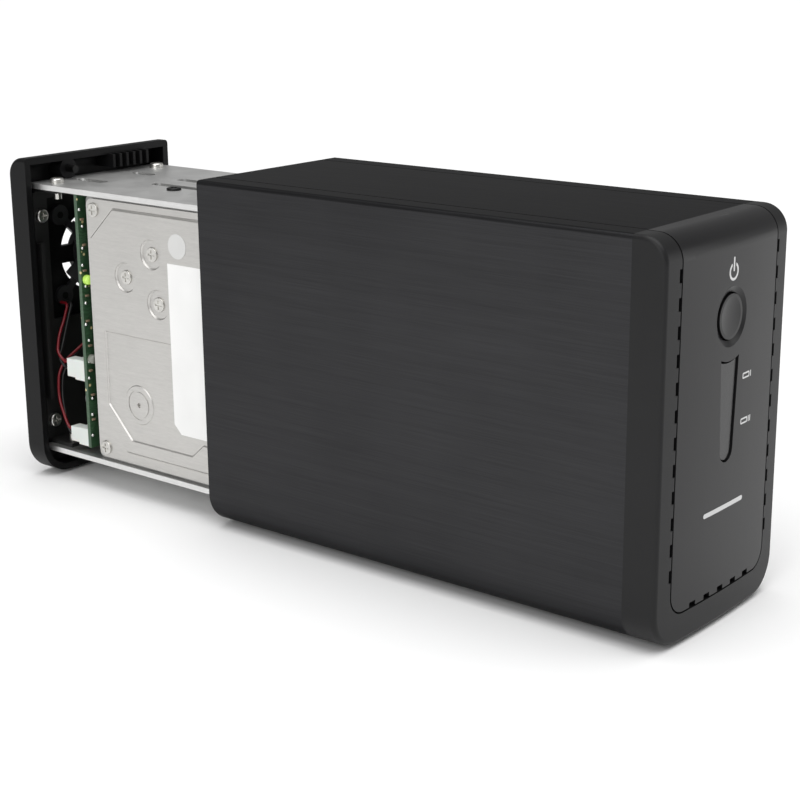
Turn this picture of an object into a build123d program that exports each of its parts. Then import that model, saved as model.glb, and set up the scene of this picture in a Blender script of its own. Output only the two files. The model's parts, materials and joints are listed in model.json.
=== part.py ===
from build123d import *
import math
import os

# A two-bay desktop storage enclosure for 3.5 inch hard drives, standing on its narrow side, with the
# drive tray slid part of the way out of the back.
#
# Every piece is drawn in the enclosure's own frame and then moved to its place:
#   x  across the width, 0 in the middle
#   y  from the side edges of the front face (0) towards the back
#   z  up from the underside of the casing (0)
# Tray pieces are drawn with the tray closed. Millimetres throughout.

# ---- overall sizes
case_width = 73.0
case_height = 125.0
sleeve_length = 173.5
bezel_depth = 11.3
cover_depth = 10.2
tray_out = 92.0
foot_height = 1.2

# ---- casing
sleeve_wall = 1.8
bottom_radius = 12.0
edge_round = 1.5
front_crown = 1.4
front_top_radius = 8.2
inlay_line_x = 27.6
inlay_line_width = 0.5
inlay_line_depth = 0.35
spigot_depth = 6.0
spigot_wall = 1.4
spigot_gap = 0.15
bezel_wall = 2.0
rail_wall = 1.7
rail_reach = 5.2
rail_gap = 0.3
foot_inset_x = 12.5
foot_inset_y = 8.0
foot_band = 7.0
foot_corner = 5.0

# ---- front panel
panel_half_width = 28.2
panel_low_z = 9.9
panel_corner_radius = 6.5
panel_thickness = 2.0
panel_seam = 0.55
vent_notch_count = 12
vent_notch_pitch = 8.2
vent_notch_height = 4.0
vent_notch_width = 1.1
vent_notch_low_z = 21.0
foot_notch_count = 5
foot_notch_pitch = 8.2
foot_notch_width = 3.4
foot_notch_height = 1.5
inlay_depth = 0.25
icon_z = 110.0
icon_radius = 2.75
icon_stroke = 0.8
mark_x = 12.9
mark_z = (76.4, 62.0)
mark_width = 4.4
mark_height = 1.9
mark_stroke = 0.5
badge_z = 37.0
badge_width = 24.0
badge_height = 1.5

# ---- power button
button_z = 96.4
button_radius = 6.9
button_inset = 0.25
button_gap = 0.45
button_travel = 1.0
dish_radius = 6.0
dish_depth = 0.5
recess_radius = 9.2
recess_depth = 0.9
flange_margin = 1.2
flange_thickness = 0.9
flange_play = 0.15
stem_radius = 1.5
stem_length = 0.4
guide_half_width = 6.0
guide_thickness = 1.0
guide_hole_radius = 4.5
guide_screw_offset = 12.5
guide_boss_radius = 2.4
spring_radius = 4.9
spring_wire = 0.22
spring_turns = 2.5
spring_end_gap = 0.05

# ---- light pipe
pipe_top_half_width = 4.8
pipe_low_half_width = 3.2
pipe_top_arc = 14.2
pipe_top_z = 83.0
pipe_low_z = 52.0
pipe_gap = 0.65
pipe_recess = 0.55
pipe_depth = 6.2

# ---- drives
drive_width = 101.6
drive_length = 147.0
drive_thickness = 26.1
drive_outer_x = 32.0
drive_front_y = 11.5
lid_thickness = 1.8
lid_field_height = 0.9
lid_sink = 0.5
base_board_space = 3.2
drive_board_thickness = 1.0
drive_hole_from_back = 28.5
drive_hole_spacing = 101.6
drive_hole_depth = 6.35
lid_cups = ((21.6, 73.2, 5.6), (36.0, 83.3, 5.6), (38.5, 65.2, 5.6))
breather = (25.4, 25.2, 7.6)
drive_connector_width = 38.0
drive_connector_thickness = 6.5
drive_connector_from_edge = 12.0

# ---- tray
plate_thickness = 2.0
plate_half_width = 32.4
plate_neck_half_width = 29.6
plate_front_y = 10.2
plate_back_y = 188.4
tab_thickness = 1.1
tab_half_width = 3.2
tab_height = 9.0
board_thickness = 1.6
backplane_y = 161.5
backplane_half_width = 32.0
backplane_low_gap = 3.2
front_board_half_width = 24.0

# ---- rear cover
cover_wall = 2.6
cover_top_radius = 7.0
fan_z = 84.5
fan_size = 40.0
fan_depth = 10.0
fan_lug_radius = 4.0
fan_spider_thickness = 1.5
fan_reach = 17.0
fan_hub_radius = 9.6
fan_hole_offset = 16.0
fan_blade_count = 5
grille_inner_radius = 10.4
grille_outer_radius = 15.8
grille_bar = 6.8
bracket_y = 188.7
bracket_thickness = 1.5
bracket_half_width = 30.6
bracket_low_z = 13.0
bracket_high_z = 111.0
bracket_window_gap = 4.0
bracket_flange = 3.2
bracket_screw_x = 27.4
bracket_screw_z = (20.5, 102.0)
closing_screw_places = ((-15.4, 119.2), (0.0, 5.4))
closing_screw_radius = 1.5
closing_head_radius = 2.8
closing_head_depth = 4.0
closing_grip = 4.0
closing_boss_radius = 4.0
lug_half_width = 3.2
lug_length = 6.0
running_gap = 0.06
boss_radius = 3.2
comb_rib_count = 6
comb_first_x = 4.5
comb_pitch = 3.5
comb_rib_thickness = 1.2
comb_reach = 3.0
plate_screw_x = 25.5
plate_screw_y = 180.0

# ---- connectors
io_board_x = 10.0
io_board_low_z = 15.0
io_board_high_z = 62.0
io_board_front_y = 166.5
lan_low_z = 17.0
lan_height = 16.2
lan_width = 13.6
usb_low_z = 36.5
usb_height = 12.2
usb_width = 11.0
jack_low_z = 51.5
jack_height = 9.4
jack_width = 11.0
port_depth = 18.0
port_gap = 0.3
port_back = 194.6
jack_pin_radius = 1.0
jack_mouth_radius = 3.2
switch_x = -9.0
switch_z = 30.0
switch_height = 8.0
switch_width = 3.6
switch_knob = 2.2
switch_travel = 2.0
socket_x = -29.2
socket_width = 5.4
socket_depth = 5.6
plug_depth = 5.6
socket_places = ((41.2, 8.0), (15.2, 6.8))
lead_radius = 0.55

# ---- fasteners
screw_head_radius = 2.7
screw_head_height = 1.8
screw_radius = 1.45
low_head_height = 0.9
screw_recess_share = 0.5
small_screw_head_radius = 2.1
small_screw_head_height = 1.3
small_screw_radius = 1.0

# ---- worked out from the sizes above
half_width = case_width / 2
back_y = bezel_depth + sleeve_length
closed_length = back_y + cover_depth
crown_radius = (half_width**2 + front_crown**2) / (2 * front_crown)
drive_low_z = (case_height - drive_width) / 2
drive_high_z = drive_low_z + drive_width
drive_back_y = drive_front_y + drive_length
drive_inner_x = drive_outer_x - drive_thickness
plate_low_z = drive_low_z - plate_thickness
plate_high_z = drive_high_z + plate_thickness
cover_inner_y = closed_length - cover_wall
fan_front_y = cover_inner_y - fan_depth
bezel_inner_inset = panel_thickness + spigot_gap + bezel_wall
bezel_inner_y = bezel_inner_inset - front_crown
flange_y = bezel_inner_y + flange_play
guide_y = flange_y + flange_thickness + 2 * button_travel + 2 * spring_wire
front_board_y = plate_front_y - board_thickness
backplane_back_y = backplane_y + board_thickness


def block(x_range, y_range, z_range):
    """A box between two limits along each axis."""
    limits = (x_range, y_range, z_range)
    middle = Vector(*(sum(pair) / 2 for pair in limits))
    return Pos(middle) * Box(*(high - low for low, high in limits))


def rod_x(x_range, y, z, radius):
    """A cylinder along x."""
    low, high = x_range
    return Pos((low + high) / 2, y, z) * Rot(0, 90, 0) * Cylinder(radius, high - low)


def rod_y(x, y_range, z, radius):
    """A cylinder along y."""
    low, high = y_range
    return Pos(x, (low + high) / 2, z) * Rot(90, 0, 0) * Cylinder(radius, high - low)


def rod_z(x, y, z_range, radius):
    """A cylinder along z."""
    low, high = z_range
    return Pos(x, y, (low + high) / 2) * Cylinder(radius, high - low)


def slab(outline, y_low, y_high):
    """An outline drawn as (x, z), extruded from y_low back to y_high."""
    return extrude(Plane.XZ.offset(-y_low) * outline, amount=y_low - y_high)


def side_slab(outline, x_low, x_high):
    """An outline drawn as (y, z), extruded from x_low to x_high."""
    return extrude(Plane.YZ.offset(x_low) * outline, amount=x_high - x_low)


def joined(pieces):
    """One shape from several touching ones."""
    pieces = list(pieces)
    return pieces[0].fuse(*pieces[1:]) if len(pieces) > 1 else pieces[0]


def group(pieces):
    """Several separate solids kept as one node."""
    return Compound([solid for piece in pieces for solid in piece.solids()])


def case_outline(inset, top_round):
    """The casing's cross-section: wide radii at the foot, small ones at the top."""
    size = (case_width - 2 * inset, case_height - 2 * inset)
    outline = Pos(0, case_height / 2) * Rectangle(*size)
    corners = outline.vertices().sort_by(Axis.Y)
    outline = fillet(corners[:2], bottom_radius - inset)
    if top_round > inset:
        corners = outline.vertices().group_by(Axis.Y)[-1]
        outline = fillet(corners, top_round - inset)
    return outline


def face_body(inset, depth=bezel_depth):
    """The front end as a full solid, drawn in by an inset: crowned face and rolled top edge."""
    body = slab(case_outline(inset, 0), -2 * front_crown, depth)
    crown = Pos(0, crown_radius - front_crown, case_height / 2)
    body = body & crown * Cylinder(crown_radius - inset, 2 * case_height)
    front_top = body.edges().group_by(Axis.Z)[-1].sort_by(Axis.Y)[0]
    return fillet(front_top, front_top_radius - inset)


def rim_edges(body, joint_y):
    """The edges round an end piece's face, without its joint and the run-outs of the wide lower corners."""
    edges = []
    for edge in body.edges():
        middle = edge @ 0.5
        along = edge % 0.5
        high = middle.Z > case_height / 2
        at_joint = abs(middle.Y - joint_y) < 0.1
        if not (at_joint or (abs(along.Y) > 0.99 and not high) or (abs(along.X) > 0.99 and high)):
            edges.append(edge)
    return edges


def screw_y(x, y, z, length, head_radius, head_height, shank_radius, toward=-1):
    """A pan-head cross-recessed screw along y: head on the `toward` side of y, shank on the other."""
    head = rod_y(x, sorted((y, y + toward * head_height)), z, head_radius)
    rim = head.edges().filter_by(GeomType.CIRCLE).sort_by(Axis.Y)
    head = fillet(rim[0] if toward < 0 else rim[-1], head_height * 0.45)
    shank = rod_y(x, sorted((y, y - toward * length)), z, shank_radius)
    top = y + toward * head_height
    sunk = sorted((top - toward * screw_recess_share * head_height, top + toward))
    reach = head_radius * 0.62
    arm = head_radius * 0.13
    cross = block((x - reach, x + reach), sunk, (z - arm, z + arm))
    cross += block((x - arm, x + arm), sunk, (z - reach, z + reach))
    return head.fuse(shank) - cross


def screw_z(x, y, z, length, toward=1, head_height=screw_head_height):
    """A pan-head screw along z with its head on the `toward` side of z."""
    lying = screw_y(0, 0, 0, length, screw_head_radius, head_height, screw_radius)
    return Pos(x, y, z) * Rot(-90 * toward, 0, 0) * lying


# ---------------------------------------------------------------- casing
def make_outer_sleeve():
    section = case_outline(0, edge_round) - case_outline(sleeve_wall, edge_round)
    shell = slab(section, bezel_depth, back_y)
    rail_front = bezel_depth + spigot_depth + spigot_gap + 1
    rail_span = (rail_front, back_y - spigot_gap)
    wall_x = half_width - sleeve_wall / 2
    lip_x = plate_half_width + rail_gap
    for low, high, lip_low, lip_high in (
        (plate_low_z - rail_gap - rail_wall, plate_low_z - rail_gap, plate_low_z - 1, drive_low_z - rail_gap),
        (plate_high_z + rail_gap, plate_high_z + rail_gap + rail_wall, drive_high_z + rail_gap, plate_high_z + 1),
    ):
        for side in (-1, 1):
            ledge_x = sorted((side * wall_x, side * (half_width - sleeve_wall - rail_reach)))
            shell += block(ledge_x, rail_span, (low, high))
            shell += block(sorted((side * wall_x, side * lip_x)), rail_span, (lip_low, lip_high))
    for (x, z), lug_z in zip(
        closing_screw_places,
        (
            (plate_high_z + screw_head_height + rail_gap, case_height - sleeve_wall / 2),
            (sleeve_wall / 2, plate_low_z - rail_gap - 1),
        ),
    ):
        shell += block((x - lug_half_width, x + lug_half_width), (back_y - lug_length, back_y), lug_z)
        shell -= rod_y(x, (back_y - 2 * lug_length, back_y + 1), z, closing_screw_radius + running_gap)
    for side in (-1, 1):
        line_x = (side * inlay_line_x - inlay_line_width / 2, side * inlay_line_x + inlay_line_width / 2)
        line_z = (case_height - inlay_line_depth, case_height + 1)
        shell -= block(line_x, (bezel_depth - 1, back_y + 1), line_z)
    return shell


def panel_outline(grow):
    """The front panel's outline as (x, z), open above so that it runs over the rolled top edge."""
    low = panel_low_z - grow
    high = case_height + front_top_radius
    width = 2 * (panel_half_width + grow)
    outline = Pos(0, (low + high) / 2) * Rectangle(width, high - low)
    return fillet(outline.vertices().sort_by(Axis.Y)[:2], panel_corner_radius + grow)


def button_outline(grow):
    return Pos(0, button_z) * Circle(button_radius + grow)


def pipe_outline(grow):
    """A tapered blade: round at the foot, with its top hollowed round the button."""
    top = (pipe_top_half_width + grow, pipe_top_z + 2)
    low = (pipe_low_half_width + grow, pipe_low_z + pipe_low_half_width)
    sides = Polyline(
        (-low[0], low[1]), (-top[0], top[1]), (top[0], top[1]), (low[0], low[1])
    )
    foot = ThreePointArc((low[0], low[1]), (0, low[1] - low[0]), (-low[0], low[1]))
    blade = make_face(Wire([*sides.edges(), foot]))
    return blade - Pos(0, button_z) * Circle(pipe_top_arc - grow)


def icon_outline():
    """The power symbol: a broken ring and a stroke through the break."""
    ring = Circle(icon_radius) - Circle(icon_radius - icon_stroke)
    gap = 1.4 * icon_stroke
    ring -= Pos(0, icon_radius) * Rectangle(2 * gap, 2 * icon_stroke + gap)
    stroke = Pos(0, icon_radius * 0.8) * SlotOverall(2 * icon_radius * 0.8, icon_stroke, 90)
    return [Pos(0, icon_z) * ring, Pos(0, icon_z) * stroke]


def mark_outlines():
    """One small drive outline for each bay, followed by one bar or two."""
    outlines = []
    for bay, z in enumerate(mark_z, start=1):
        frame = RectangleRounded(mark_width, mark_height, mark_stroke)
        frame -= Rectangle(mark_width - 2 * mark_stroke, mark_height - 2 * mark_stroke)
        outlines.append(Pos(mark_x - mark_width / 2, z) * frame)
        for number in range(bay):
            bar_x = mark_x + (1.5 + 2 * number) * mark_stroke
            outlines.append(Pos(bar_x, z) * Rectangle(mark_stroke, mark_height))
    return outlines


def inlays(outlines):
    """Thin pieces set flush into the panel's face."""
    skin = face_body(0) - face_body(inlay_depth)
    return [slab(outline, -2 * front_crown, front_crown) & skin for outline in outlines]


def dish():
    """The shallow finger hollow in the button's face."""
    radius = (dish_radius**2 + dish_depth**2) / (2 * dish_depth)
    return Pos(0, button_inset - front_crown - radius + dish_depth, button_z) * Sphere(radius)


def button_recess():
    """The cone cut into the panel round the button."""
    low_radius = button_radius + button_gap
    slope = (recess_radius - low_radius) / recess_depth
    high_radius = low_radius + 2 * slope * recess_depth
    middle = Pos(0, -front_crown, button_z)
    return middle * Rot(90, 0, 0) * Cone(low_radius, high_radius, 2 * recess_depth)


def vent_notches():
    """The slots in the frame beside the panel, left and right."""
    cuts = []
    for side in (-1, 1):
        edge = side * (panel_half_width + panel_seam)
        span = sorted((edge - side * 0.2, edge + side * vent_notch_width))
        for number in range(vent_notch_count):
            z = vent_notch_low_z + number * vent_notch_pitch
            cuts.append(block(span, (-2 * front_crown, bezel_depth), (z, z + vent_notch_height)))
    return cuts


def make_front_bezel():
    outer = face_body(0)
    outer = fillet(rim_edges(outer, bezel_depth), edge_round)
    tongue_y = (bezel_depth - bezel_wall, bezel_depth + spigot_depth)
    tongue_inset = sleeve_wall + spigot_gap
    tongue = slab(case_outline(tongue_inset, edge_round), *tongue_y)
    cavity = slab(case_outline(tongue_inset + spigot_wall, edge_round), bezel_depth - 0.1, tongue_y[1] + 1)
    pocket = slab(panel_outline(panel_seam), -2 * front_crown, bezel_depth)
    pocket -= face_body(panel_thickness + spigot_gap)
    bezel = outer + tongue - cavity - face_body(bezel_inner_inset) - pocket
    for x in (-guide_screw_offset, guide_screw_offset):
        bezel += rod_y(x, (bezel_inner_y - 0.5, guide_y), button_z, guide_boss_radius)
        bezel -= rod_y(x, (bezel_inner_y + 1, guide_y + 1), button_z, small_screw_radius)
    bezel -= slab(button_outline(button_gap), -2 * front_crown, bezel_depth / 2)
    bezel -= slab(pipe_outline(pipe_gap), -2 * front_crown, bezel_depth / 2)
    return bezel - vent_notches()


def make_front_panel():
    skin = face_body(0) - face_body(panel_thickness)
    panel = slab(panel_outline(0), -2 * front_crown, bezel_depth) & skin
    panel -= slab(button_outline(button_gap), -2 * front_crown, bezel_depth)
    panel -= slab(pipe_outline(pipe_gap), -2 * front_crown, bezel_depth)
    panel -= button_recess()
    for number in range(foot_notch_count):
        x = (number - (foot_notch_count - 1) / 2) * foot_notch_pitch
        notch_z = (panel_low_z - 1, panel_low_z + foot_notch_height)
        panel -= block((x - foot_notch_width / 2, x + foot_notch_width / 2), (-2 * front_crown, 5), notch_z)
    return panel - inlays(icon_outline() + mark_outlines() + [badge_outline()])


def badge_outline():
    return Pos(0, badge_z) * SlotOverall(badge_width, badge_height)


def make_power_button():
    cap = slab(button_outline(0), -2 * front_crown, flange_y)
    flange = slab(button_outline(flange_margin), flange_y, flange_y + flange_thickness)
    stem_y = (flange_y + flange_thickness, flange_y + flange_thickness + stem_length)
    cap = (cap & face_body(button_inset)) - dish()
    return cap + flange + rod_y(0, stem_y, button_z, stem_radius)


def make_button_spring():
    """A coil between the button's flange and its guide."""
    start = flange_y + flange_thickness + spring_end_gap + spring_wire
    height = guide_y - spring_end_gap - spring_wire - start
    path = Helix(height / spring_turns, height, spring_radius)
    wire = Plane(origin=path @ 0, z_dir=path % 0) * Circle(spring_wire)
    coil = sweep(wire, path=path)
    return Pos(0, start, button_z) * Rot(-90, 0, 0) * coil


def make_button_guide():
    reach = guide_screw_offset + guide_boss_radius
    outline = Pos(0, button_z) * SlotOverall(2 * reach, 2 * guide_half_width)
    guide = slab(outline, guide_y, guide_y + guide_thickness)
    guide -= rod_y(0, (guide_y - 1, guide_y + 2 * guide_thickness), button_z, guide_hole_radius)
    for side in (-1, 1):
        x = side * guide_screw_offset
        guide -= rod_y(x, (guide_y - 1, guide_y + 2 * guide_thickness), button_z, small_screw_radius + running_gap)
    return guide


def make_guide_screws():
    back = guide_y + guide_thickness
    return group(
        screw_y(side * guide_screw_offset, back, button_z, guide_thickness + 2.0, small_screw_head_radius,
                small_screw_head_height * 0.7, small_screw_radius - running_gap, toward=1)
        for side in (-1, 1)
    )


def make_light_pipe():
    bar = slab(pipe_outline(0), -2 * front_crown, flange_y) & face_body(pipe_recess)
    middle_z = (pipe_top_z + pipe_low_z) / 2 - 3
    collar_outline = Pos(0, middle_z) * Rectangle(2 * (pipe_top_half_width + 1), 22)
    collar = slab(collar_outline, flange_y, flange_y + 1)
    return bar + collar + block((-2, 2), (flange_y, pipe_depth), (middle_z - 9, middle_z + 9))


def make_rubber_foot():
    """A flat rubber frame glued under the sleeve, inside the flat between its wide corners."""
    size = (case_width - 2 * foot_inset_x, sleeve_length - 2 * foot_inset_y)
    inner = [length - 2 * foot_band for length in size]
    outline = RectangleRounded(*size, foot_corner) - RectangleRounded(*inner, foot_corner / 2)
    return Pos(0, bezel_depth + sleeve_length / 2, -foot_height) * extrude(outline, amount=foot_height)


# ---------------------------------------------------------------- tray
def drive_sides():
    """The outer face, the inner face and the outward direction of each drive."""
    return {"left": (-drive_outer_x, -drive_inner_x), "right": (drive_inner_x, drive_outer_x)}


def drive_hole_places():
    """Where the drives' side screws stand, as (x, y)."""
    places = []
    for low_x, high_x in drive_sides().values():
        for step in (0, 1):
            y = drive_back_y - drive_hole_from_back - step * drive_hole_spacing
            places.append((high_x - drive_hole_depth, y))
    return places


def make_plate(inner_z, outward):
    """A tray plate lying on the drives' edges; outward is +1 for the upper plate."""
    z_range = sorted((inner_z, inner_z + outward * plate_thickness))
    neck_end = bezel_depth + spigot_depth + 2
    plate = block((-plate_half_width, plate_half_width), (neck_end, plate_back_y), z_range)
    plate += block((-plate_neck_half_width, plate_neck_half_width), (plate_front_y, neck_end + 1), z_range)
    for y in (plate_front_y, backplane_y - tab_thickness):
        for x in (-tab_half_width, tab_half_width):
            tab_z = sorted((inner_z + outward * plate_thickness / 2, inner_z - outward * tab_height))
            if y > plate_front_y:
                tab_x = (x - tab_half_width / 2, x + tab_half_width / 2)
                plate += block(tab_x, (y, y + tab_thickness), tab_z)
    tab_z = sorted((inner_z + outward * plate_thickness / 2, inner_z - outward * tab_height))
    front_x = drive_inner_x - 0.6
    plate += block((-front_x, front_x), (plate_front_y, plate_front_y + tab_thickness), tab_z)
    plate -= rod_y(0, (0, plate_front_y + 5), inner_z - outward * tab_height / 2, small_screw_radius + running_gap)
    for x, y in drive_hole_places():
        plate -= rod_z(x, y, (z_range[0] - 1, z_range[1] + 1), screw_radius + running_gap)
    for side in (-1, 1):
        hole = (z_range[0] - 1, z_range[1] + 1)
        plate -= rod_z(side * plate_screw_x, plate_screw_y, hole, screw_radius + running_gap)
    return plate


def plate_slot(x, y_range, width, z_range):
    """A round-ended slot through a plate, along y."""
    low, high = y_range
    outline = Pos(x, (low + high) / 2) * SlotOverall(high - low, width, 90)
    return extrude(Plane.XY.offset(z_range[0]) * outline, amount=z_range[1] - z_range[0])


def make_top_plate():
    plate = make_plate(drive_high_z, 1)
    through = (drive_high_z - 1, plate_high_z + 1)
    back = backplane_back_y
    for x, y_range, width in (
        (-14.2, (back + 2, back + 18.5), 4.6),
        (9.8, (back + 1.5, back + 14), 4.0),
        (-5.6, (back - 62, back - 15), 4.4),
        (7.4, (back - 62, back - 15), 4.4),
    ):
        plate -= plate_slot(x, y_range, width, through)
    return plate


def make_bottom_plate():
    plate = make_plate(drive_low_z, -1)
    through = (plate_low_z - 1, drive_low_z + 1)
    for x in (-7.0, 7.0):
        plate -= plate_slot(x, (backplane_y - 60, backplane_y - 14), 2.4, through)
    return plate


def make_drive_screws(toward):
    plate_z = plate_high_z if toward > 0 else plate_low_z
    length = plate_thickness + 3
    screws = [screw_z(x, y, plate_z, length, toward, low_head_height) for x, y in drive_hole_places()]
    return group(screws)


def make_plate_screws(toward):
    plate_z = plate_high_z if toward > 0 else plate_low_z
    places = [side * plate_screw_x for side in (-1, 1)]
    return group(screw_z(x, plate_screw_y, plate_z, plate_thickness + 4.2, toward) for x in places)


def drive_outline(inset, chamfer_size):
    """The drive seen from its lid, as (y, z)."""
    middle = Pos(drive_front_y + drive_length / 2, case_height / 2)
    outline = middle * Rectangle(drive_length - 2 * inset, drive_width - 2 * inset)
    return fillet(outline.vertices(), chamfer_size)


def connector_range():
    """The height range of a drive's connector, near the foot of the drive."""
    low = drive_low_z + drive_connector_from_edge
    return (low, low + drive_connector_width)


def make_drive_base(low_x, high_x):
    base_low = low_x + lid_thickness
    base_high = high_x - base_board_space
    base = side_slab(drive_outline(0, 2.5), base_low, base_high)
    rim_z = (drive_low_z + 8, drive_high_z - 8)
    corner = 20.0
    for y_range in ((drive_front_y, drive_front_y + corner), (drive_back_y - corner, drive_back_y)):
        for z_range in ((drive_low_z, rim_z[0] + 4), (rim_z[1] - 4, drive_high_z)):
            base += block((base_high - 1, high_x), (y_range[0] + 2.5, y_range[1] - 2.5), z_range)
    span_x = (high_x - drive_connector_thickness - 0.2, high_x + 1)
    low, high = connector_range()
    base -= block(span_x, (drive_back_y - 9, drive_back_y + 1), (low - 0.2, high + 0.2))
    for y in (drive_back_y - drive_hole_from_back, drive_back_y - drive_hole_from_back - drive_hole_spacing):
        for z_range in ((drive_low_z - 1, drive_low_z + 4), (drive_high_z - 4, drive_high_z + 1)):
            base += block(
                (base_high - 1, high_x), (y - 4, y + 4), (max(z_range[0], drive_low_z), min(z_range[1], drive_high_z))
            )
            base -= rod_z(high_x - drive_hole_depth, y, z_range, screw_radius + running_gap)
    return base - lid_screw_holes(low_x)


def lid_shape(corners, low_x, depth, edge):
    """A raised or sunken part of the lid, from its (along, up) corners, with a sloping edge inside."""
    outline = make_face(Polyline(*[(drive_back_y - along, drive_low_z + up) for along, up in corners], close=True))
    shape = side_slab(outline, low_x, low_x + depth)
    return chamfer(shape.faces().sort_by(Axis.X)[edge].edges(), depth * 0.9)


def make_drive_lid(low_x):
    """The stamped lid: a raised field, a sunken lower part, screw cups and the breather disc."""
    flange_x = low_x + lid_field_height
    lid = side_slab(drive_outline(1.0, 3.0), flange_x, low_x + lid_thickness)
    field = ((2.8, 20.5), (2.8, 86), (16, 98.2), (142, 98.2), (142, 5), (17, 5))
    lid += lid_shape(field, low_x, lid_field_height, 0)
    sunk = ((8.5, 23), (8.5, 51.5), (96, 51.5), (96, 15.5), (59, 15.5), (53, 10.3), (20.5, 10.3))
    lid -= lid_shape(sunk, low_x, lid_sink, -1)
    bridge_x = (low_x - 1, low_x + 0.35)
    for along, up, radius in lid_cups:
        y = drive_back_y - along
        z = drive_low_z + up
        cup = rod_x((low_x - lid_sink, low_x + lid_field_height * 0.8), y, z, radius)
        lid -= chamfer(cup.faces().sort_by(Axis.X)[-1].edges(), lid_sink)
    along, up, radius = breather
    y = drive_back_y - along
    z = drive_low_z + up
    disc = rod_x((low_x + lid_sink - 0.35, low_x + lid_sink + 0.2), y, z, radius)
    lid += chamfer(disc.faces().sort_by(Axis.X)[0].edges(), 0.3)
    lid -= rod_x(bridge_x, y, z, radius * 0.75) - rod_x((low_x - 2, low_x + 1), y, z, radius * 0.66)
    lid -= rod_x((low_x - 1, low_x + lid_field_height), y, z, 0.9)
    return lid - lid_screw_holes(low_x)


def make_drive_label(low_x):
    label_y = (drive_back_y - 118, drive_back_y - 44.5)
    label_z = (drive_low_z + 18, drive_low_z + 81.2)
    label = block((low_x - 0.12, low_x), label_y, label_z)
    label = chamfer(label.edges().filter_by(Axis.X).group_by(Axis.Z)[0].sort_by(Axis.Y)[-1], 3.5)
    sticker = rod_x((low_x - 0.12, low_x), drive_back_y - 49.8, drive_low_z + 87.8, 4.5)
    return group([label, sticker])


def lid_screw_places():
    """Each lid screw as (along, up, depth of its seat below the lid's highest face)."""
    near, far = 4.9, drive_length - 4.9
    low, high = 4.8, drive_width - 5.2
    rim = [(near, low), (near, high), (far, low), (far, high)]
    places = [(along, up, lid_field_height) for along, up in rim]
    return places + [(along, up, lid_field_height * 0.8) for along, up, _ in lid_cups]


def lid_screw_holes(low_x):
    """Clearance for the lid screws: a seat for each flat head and a hole for its shank."""
    holes = []
    for along, up, seat in lid_screw_places():
        place = (drive_back_y - along, drive_low_z + up)
        holes.append(rod_x((low_x - 1, low_x + seat), *place, screw_head_radius + 2 * running_gap))
        holes.append(rod_x((low_x, low_x + seat + 1.4), *place, small_screw_radius + running_gap))
    return holes


def make_lid_screws(low_x):
    screws = []
    for along, up, seat in lid_screw_places():
        flat = screw_y(0, 0, 0, 1.3, screw_head_radius, seat * 0.8, small_screw_radius)
        screws.append(Pos(low_x + seat, drive_back_y - along, drive_low_z + up) * Rot(0, 0, -90) * flat)
    return group(screws)


def make_drive_board(high_x):
    """The drive's circuit board, chips inwards."""
    board_y = (drive_front_y + 34, drive_back_y - 4)
    board_z = (drive_low_z + 13.0, drive_high_z - 14.0)
    board_x = (high_x - 1.6, high_x - 1.6 + drive_board_thickness)
    board = block(board_x, board_y, board_z)
    low, high = connector_range()
    board -= block((high_x - 5, high_x), (drive_back_y - 9.2, drive_back_y), (low - 0.4, high + 0.4))
    chips = []
    for along, up, size in ((60, 45, 14), (40, 62, 10), (84, 60, 8)):
        y = drive_back_y - along
        z = drive_low_z + up
        chip_x = (board_x[0] - 1.2, board_x[0])
        chips.append(block(chip_x, (y - size / 2, y + size / 2), (z - size / 2, z + size / 2)))
    return joined([board, *chips])


def make_drive_connector(high_x):
    low, high = connector_range()
    body = block(
        (high_x - drive_connector_thickness, high_x - 0.2), (drive_back_y - 8.8, drive_back_y), (low, high)
    )
    mouth = block(
        (high_x - drive_connector_thickness + 1, high_x - 1.2), (drive_back_y - 5.5, drive_back_y + 1),
        (low + 1, high - 1),
    )
    tongue = block(
        (high_x - 4.2, high_x - 3.0), (drive_back_y - 6, drive_back_y - 0.6), (low + 2, high - 2)
    )
    return body - mouth + tongue


def make_backplane():
    board_z = (drive_low_z + backplane_low_gap, drive_high_z)
    board = block((-backplane_half_width, backplane_half_width), (backplane_y, backplane_back_y), board_z)
    for x in (-tab_half_width, tab_half_width):
        z = drive_high_z - tab_height / 2
        hole_y = (backplane_y - 1, backplane_back_y + 1)
        board -= rod_y(x, hole_y, z, small_screw_radius + running_gap)
    return board


def make_sata_sockets():
    sockets = []
    low, high = connector_range()
    for _, high_x in drive_sides().values():
        base_x = (high_x - drive_connector_thickness, high_x - 0.2)
        base_x = (base_x[0] - 0.4, base_x[1] + 0.4)
        socket = block(base_x, (drive_back_y + 0.3, backplane_y), (low - 0.8, high + 0.8))
        plug_x = (high_x - 5.2, high_x - 1.9)
        plug = block(plug_x, (drive_back_y - 4.5, drive_back_y + 0.5), (low + 1.4, high - 1.4))
        slot_x = (high_x - 4.2 - 0.15, high_x - 3.0 + 0.15)
        plug -= block(slot_x, (drive_back_y - 5, drive_back_y), (low + 1.9, high - 1.9))
        sockets.append(socket + plug)
    return group(sockets)


def make_board_chips():
    """Flat black packages on the back of the backplane."""
    chips = []
    for x, z, width, height in ((2, 66, 12, 12), (-14, 62, 7, 7), (6, 100, 9, 6), (-20, 100, 6, 8), (22, 84, 8, 8)):
        spot_x = (x - width / 2, x + width / 2)
        chips.append(block(spot_x, (backplane_back_y, backplane_back_y + 1.3), (z - height / 2, z + height / 2)))
    return group(chips)


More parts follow.
